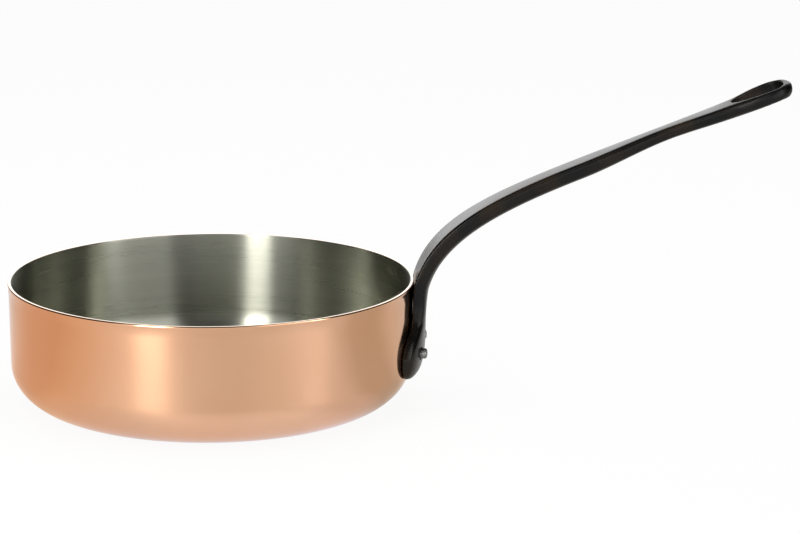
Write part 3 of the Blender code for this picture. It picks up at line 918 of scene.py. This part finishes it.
# A closed solid through sections that all have the same number of points.
def loftObject(name, sections):
    bm = bmesh.new()
    rings = [[bm.verts.new(point) for point in section] for section in sections]
    count = len(rings[0])
    for lower, upper in zip(rings, rings[1:]):
        for i in range(count):
            j = (i + 1) % count
            bm.faces.new((lower[i], lower[j], upper[j], upper[i]))
    bm.faces.new(rings[0][::-1])
    bm.faces.new(rings[-1])
    bmesh.ops.remove_doubles(bm, verts=bm.verts, dist=handle["weld"])
    bmesh.ops.recalc_face_normals(bm, faces=bm.faces)
    mesh = bpy.data.meshes.new(name)
    bm.to_mesh(mesh)
    bm.free()
    made = bpy.data.objects.new(name, mesh)
    bpy.context.scene.collection.objects.link(made)
    return made


def eyeOutline():
    halfLong = 0.5 * handle["eyeLength"]
    halfWide = 0.5 * handle["eyeWidth"]
    tip = Vector((-halfLong, 0.0))
    widest = Vector((handle["eyeBelly"] * halfLong, halfWide))
    end = Vector((halfLong, 0.0))
    before, after = (Vector((pull * halfLong, 0.0)) for pull in handle["eyePulls"])
    rise = (tip, tip + Vector((0.0, handle["eyeTip"] * halfWide)), widest - before, widest)
    fall = (widest, widest + after, end + Vector((0.0, handle["eyeEnd"] * halfWide)), end)
    quarter = handle["eyePoints"] // 4
    upper = [bezierPoint(rise, i / quarter) for i in range(quarter)]
    upper += [bezierPoint(fall, i / quarter) for i in range(quarter + 1)]
    lower = [Vector((p.x, -p.y)) for p in upper[1:-1]]
    return upper + lower[::-1]


def eyeCutter():
    middle = stemEnd() - stemDirection() * (handle["eyeEndWall"] + 0.5 * handle["eyeLength"])
    tall = handle["ringDepth"] + handle["cutMargin"]
    sections = []
    for height in (tall, -tall):
        sections.append([Vector((p.x, p.y, height)) for p in eyeOutline()])
    made = loftObject("eyeCutter", sections)
    place = Matrix.Translation(middle) @ Matrix.Rotation(-math.radians(handle["stemAngle"]), 4, "Y")
    made.data.transform(place)
    return made


def rivetAngle():
    return math.asin(0.5 * rivet["spacing"] / pan["outerRadius"])


def rivetHeight():
    return pan["height"] - rivet["drop"]


def rivetEnd():
    station = footStation(rivetHeight())
    aside = 0.5 * rivet["spacing"] / station["half"]
    depth = station["depth"] * sectionFill(aside, station["power"])
    return outerFaceRadius(rivetHeight()) + handle["seatGap"] + depth + rivet["tail"]


def rivetSeatCutter(side):
    radius = rivet["radius"] + rivet["seat"]
    sections = []
    for distance in (pan["outerRadius"] - rivet["seatDepth"], rivetEnd() + handle["cutMargin"]):
        circle = []
        for i in range(rivet["steps"]):
            turn = math.tau * i / rivet["steps"]
            circle.append(Vector((radius * math.cos(turn), radius * math.sin(turn), distance)))
        sections.append(circle)
    made = loftObject("rivetSeat", sections)
    turn = Matrix.Rotation(side * rivetAngle(), 4, "Z") @ Matrix.Rotation(0.5 * math.pi, 4, "Y")
    made.data.transform(Matrix.Translation((0.0, 0.0, rivetHeight())) @ turn)
    return made


def softened(made, name, rounds, group=""):
    smooth = made.modifiers.new(name, "SMOOTH")
    smooth.factor = handle["smoothFactor"]
    smooth.iterations = rounds
    smooth.vertex_group = group


# The loft with its eye and rivet seats cut, as one skin with soft edges.
def castHandle():
    rough = loftObject("ironHandleRough", [sectionPoints(station) for station in handleStations()])
    cutters = [eyeCutter(), rivetSeatCutter(-1.0), rivetSeatCutter(1.0)]
    for cutter in cutters:
        boolean = rough.modifiers.new("cut", "BOOLEAN")
        boolean.operation = "DIFFERENCE"
        boolean.solver = "EXACT"
        boolean.object = cutter
    remesh = rough.modifiers.new("casting", "REMESH")
    remesh.mode = "VOXEL"
    remesh.voxel_size = handle["voxel"]
    softened(rough, "soften", handle["smoothing"])
    cast = plainCopy(rough, "ironHandleCast")
    for cutter in cutters:
        bpy.data.objects.remove(cutter, do_unlink=True)
    return cast


# The ring is rounded more than the rest.
def makeHandle():
    cast = castHandle()
    end, way = stemEnd(), stemDirection()
    ring = cast.vertex_groups.new(name="ring")
    for vertex in cast.data.vertices:
        beyond = handle["eyeLength"] + handle["ringBlend"] - (end - vertex.co).dot(way)
        if beyond > 0.0:
            ring.add([vertex.index], min(1.0, beyond / handle["ringBlend"]), "REPLACE")
    softened(cast, "roundRing", handle["ringSmoothing"], "ring")
    made = plainCopy(cast, "ironHandle")
    made.data.materials.clear()
    made.data.materials.append(iron)
    made.data.shade_smooth()
    return made


ironHandle = makeHandle()
print("handle:", len(ironHandle.data.polygons), "faces")


def rivetProfile():
    end = rivetEnd()
    radius = rivet["radius"]
    headRadius = rivet["headRadius"]
    face = wallRadius(pan["innerRadius"], rivetHeight())
    seat = math.sqrt(face ** 2 - headRadius ** 2)
    edge = seat - (rivet["headHeight"] - rivet["headDome"])
    turns = [0.5 * math.pi * i / rivet["domeSteps"] for i in range(rivet["domeSteps"] + 1)]
    points = []
    for turn in turns:            # domed outer end, with a rounded edge
        fall = rivet["dome"] * (1.0 - math.cos(turn)) ** rivet["domeFall"]
        points.append((radius * math.sin(turn) ** rivet["domeRound"], end - fall))
    points.append((radius, end - rivet["domeFoot"] * rivet["dome"]))
    points += [(radius, seat), (headRadius, seat)]
    for turn in turns:            # low head inside the pan
        points.append((headRadius * math.cos(turn), edge - rivet["headDome"] * math.sin(turn)))
    return points


rivetValues = {
    "Steps": rivet["steps"],
    "Ring Radius": rivet["ringRadius"],
    "Merge": rivet["merge"],
    "Material": rivetSteel,
    "Count": rivet["count"],
    "Half Angle": rivetAngle(),
    "Height": rivetHeight(),
}
rivets = treeObject("rivets", rivetProfile(), makeRivetTree(), rivetValues, rivet["sharpAngle"])
print("rivets:", len(rivets.data.polygons), "faces")


# Studio: a pale floor and a white backdrop, a tall narrow soft box front left, a wide dim one
# front right and a large soft ceiling. The camera sees it plain. In metal it has the tones of
# the photograph's room. Masks are pairs, from where a thing starts to where it is full, in
# metres on the floor and in sines of an angle in the room.
studio = {
    "floorSize": 60.0,
    "floorDrop": 0.0002,
    "floorGrey": 0.80,
    "floorGlow": 0.93,            # share of plain white that the floor shows to the eye
    "tableGlow": 0.80,            # the same in metal, where its satin sheen shows too
    "tableRoughness": 0.57,
    "tableIor": 2.05,
    "tableNearGlow": 0.33,            # painted light: how far the table takes a bluish-white glow close round the pan, seen in metal
    "nearGlowColour": rgb(1.05, 1.15, 1.4),
    "nearRing": (0.14, 0.24),     # outward from the pan's axis it fades
    "nearStart": (-0.12, 0.02),   # along X it comes in, and goes again
    "nearEnd": (0.08, 0.13),
    "backdrop": 1.90,
    "backdropSides": (0.88, 0.95),
    "backdropTop": (0.30, 0.92),  # heights between which it goes over into the room
    "backdropFade": 0.14,         # how much darker its upper part is
    "fadeHeight": (0.17, 0.26),
    "roomLevel": 2.25,            # brightness of a 1.0 in roomLight
    "roomTop": 0.08,
    "roomTopEdge": (0.80, 0.98),
    "horizon": 1.50,              # the far edge of the table, behind the camera
    "horizonSides": (0.88, 0.93),
    "horizonTop": (0.15, 0.30),
    "fill": 0.5,                  # light on everything that isn't metal
}
# What the metal sees round it, by degrees to the right of the camera: the light the table gives
# off, with painted warm patches on the left for light the copper throws onto it, and how bright
# the room above it is.
tableLight = [
    (-180, (0.54, 0.54, 0.54)), (-150, (0.54, 0.54, 0.54)), (-120, (0.64, 0.50, 0.42)),
    (-105, (0.62, 0.43, 0.31)), (-80, (0.60, 0.40, 0.26)), (-66, (0.66, 0.50, 0.37)),
    (-56, (0.67, 0.56, 0.47)), (-45, (0.65, 0.59, 0.56)), (-25, (0.54, 0.54, 0.56)),
    (0, (0.50, 0.51, 0.52)), (28, (0.49, 0.51, 0.52)), (42, (0.57, 0.59, 0.65)),
    (58, (0.56, 0.58, 0.62)), (70, (0.44, 0.43, 0.40)), (88, (0.44, 0.42, 0.37)),
    (102, (0.58, 0.56, 0.52)), (150, (0.54, 0.54, 0.54)), (180, (0.54, 0.54, 0.54)),
]
roomLight = [
    (-180, 0.0), (-125, 0.0), (-112, 0.01), (-100, 0.02), (-88, 0.01), (-72, 0.01),
    (-56, 0.10), (-47, 0.55), (-30, 0.55), (-20, 0.15), (-12, 0.05), (20, 0.04),
    (23, 0.36), (56, 0.25), (59, 2.2), (66, 2.2), (68, 0.01), (86, 0.0),
    (97, 0.02), (112, 0.0), (180, 0.0),
]
lamps = [
    {"name": "keyPanel", "azimuth": -31.0, "distance": 0.75, "height": 0.44, "aimHeight": 0.44,
     "width": 0.20, "tall": 0.85, "power": 4.3, "colour": (1.0, 0.98, 0.94), "inMetal": True},
    {"name": "sidePanel", "azimuth": 43.5, "distance": 1.20, "height": 0.60, "aimHeight": 0.60,
     "width": 0.78, "tall": 1.1, "power": 2.6, "colour": (1.0, 0.99, 0.96), "inMetal": True},
    {"name": "ceilingPanel", "azimuth": 180.0, "distance": 0.20, "height": 2.20, "aimHeight": 0.0,
     "width": 2.0, "tall": 2.0, "power": 30.0, "colour": (1.0, 1.0, 1.0), "inMetal": False},
]


# Masks: what the camera sees itself, and what it sees in metal.
def seenBy(graph):
    path = graph.node("ShaderNodeLightPath").socket.node.outputs
    return Sock(graph, path["Is Camera Ray"]), Sock(graph, path["Is Glossy Ray"])


# A colour ramp round the pan: stops by degrees to the right of the camera's side.
def aroundRamp(graph, x, y, stops):
    angle = graph.node("ShaderNodeMath", {"operation": "ARCTAN2"}, {0: x, 1: y * -1.0})
    share = angle * (1.0 / math.tau) + (0.5 - photoView["handleTurn"] / 360.0)
    placed = [((turn + 180.0) / 360.0, colour) for turn, colour in stops]
    return graph.node("ShaderNodeValToRGB", {"stops": placed}, {0: share})


def floorMaterial():
    paint = grey(studio["floorGrey"])
    material, graph = newMaterial("paleFloor", paint)
    camera, metal = seenBy(graph)
    x, y = graph.parts(graph.objectPlace())[:2]
    table = aroundRamp(graph, x, y, [(turn, rgb(*colour)) for turn, colour in tableLight])
    # Painted light: a brighter pool on the table close round the pan, in place of light the pan
    # throws there.
    nearGlow = 1.0 - ((x * x + y * y) ** 0.5).between(*studio["nearRing"])
    nearGlow = nearGlow * x.between(*studio["nearStart"]) * (1.0 - x.between(*studio["nearEnd"]))
    table = graph.blend(nearGlow * studio["tableNearGlow"], table, studio["nearGlowColour"])
    lit = graph.node("ShaderNodeBsdfPrincipled", None, {
        "Base Color": graph.blend(metal * studio["tableGlow"], paint, grey(0.0)),
        "Roughness": studio["tableRoughness"],
        "IOR": studio["tableIor"],
        "Emission Color": graph.blend(metal, grey(0.0), table),
        "Emission Strength": 1.0,
    })
    matte = graph.node("ShaderNodeBsdfDiffuse", None, {"Color": paint})
    white = graph.node("ShaderNodeEmission", None, {"Color": grey(1.0), "Strength": 1.0})
    shown = graph.node("ShaderNodeMixShader", None, {0: studio["floorGlow"], 1: matte, 2: white})
    both = graph.node("ShaderNodeMixShader", None, {0: camera, 1: lit, 2: shown})
    graph.node("ShaderNodeOutputMaterial", None, {"Surface": both})
    return material


def makeFloor():
    half = 0.5 * studio["floorSize"]
    corners = [(-half, -half, 0), (half, -half, 0), (half, half, 0), (-half, half, 0)]
    mesh = bpy.data.meshes.new("floor")
    mesh.from_pydata(corners, [], [(0, 1, 2, 3)])
    mesh.materials.append(floorMaterial())
    floor = bpy.data.objects.new("floor", mesh)
    floor.location.z = -studio["floorDrop"]
    bpy.context.scene.collection.objects.link(floor)


def makeWorld():
    world = bpy.data.worlds.new("studio")
    world.use_nodes = True
    bpy.context.scene.world = world
    graph = Graph(world.node_tree)
    camera, metal = seenBy(graph)
    x, y, z = graph.parts(graph.node("ShaderNodeTexCoord", output="Generated"))
    back = (y / (x * x + y * y) ** 0.5).between(*studio["backdropSides"])
    back = back * (1.0 - z.between(*studio["backdropTop"]))
    glow = (1.0 - z.between(*studio["fadeHeight"]) * studio["backdropFade"]) * studio["backdrop"]
    stops = [(turn, grey(level)) for turn, level in roomLight]
    around = graph.parts(aroundRamp(graph, x, y, stops))[0] * studio["roomLevel"]
    top = z.between(*studio["roomTopEdge"])
    front = (y * -1.0).between(*studio["horizonSides"])
    front = front * (1.0 - z.between(*studio["horizonTop"]))
    room = top * (studio["roomTop"] - around) + around + front * studio["horizon"]
    shown = back * (glow - room) + room
    strength = camera + (1.0 - camera) * (metal * shown + (1.0 - metal) * studio["fill"])
    shade = graph.node("ShaderNodeBackground", None, {"Color": grey(1.0), "Strength": strength})
    graph.node("ShaderNodeOutputWorld", None, {"Surface": shade})


def addLamp(lamp):
    light = bpy.data.lights.new(lamp["name"], "AREA")
    light.shape = "RECTANGLE"
    light.size = lamp["width"]
    light.size_y = lamp["tall"]
    light.energy = lamp["power"]
    light.color = lamp["colour"]
    made = bpy.data.objects.new(lamp["name"], light)
    turn = math.radians(lamp["azimuth"] + photoView["handleTurn"])
    reach = lamp["distance"]
    place = Vector((math.sin(turn) * reach, -math.cos(turn) * reach, lamp["height"]))
    aim = Vector((0.0, 0.0, lamp["aimHeight"]))
    made.location = place
    made.rotation_euler = (aim - place).to_track_quat("-Z", "Y").to_euler()
    made.visible_camera = False
    made.visible_glossy = lamp["inMetal"]
    bpy.context.scene.collection.objects.link(made)


makeFloor()
makeWorld()
for lamp in lamps:
    addLamp(lamp)
bpy.context.scene.view_settings.view_transform = "Standard"
print("studio set")


pieces = [
    (copperShell, "copper", ("copper_body",)),
    (steelLiner, "lining", ("steel_lining",)),
    (ironHandle, "iron", ("handle",)),
    (rivets, "rivet", ("rivet_left", "rivet_right")),
]
for piece, slotName, nodes in pieces:
    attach(piece, "root")
    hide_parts(*nodes)
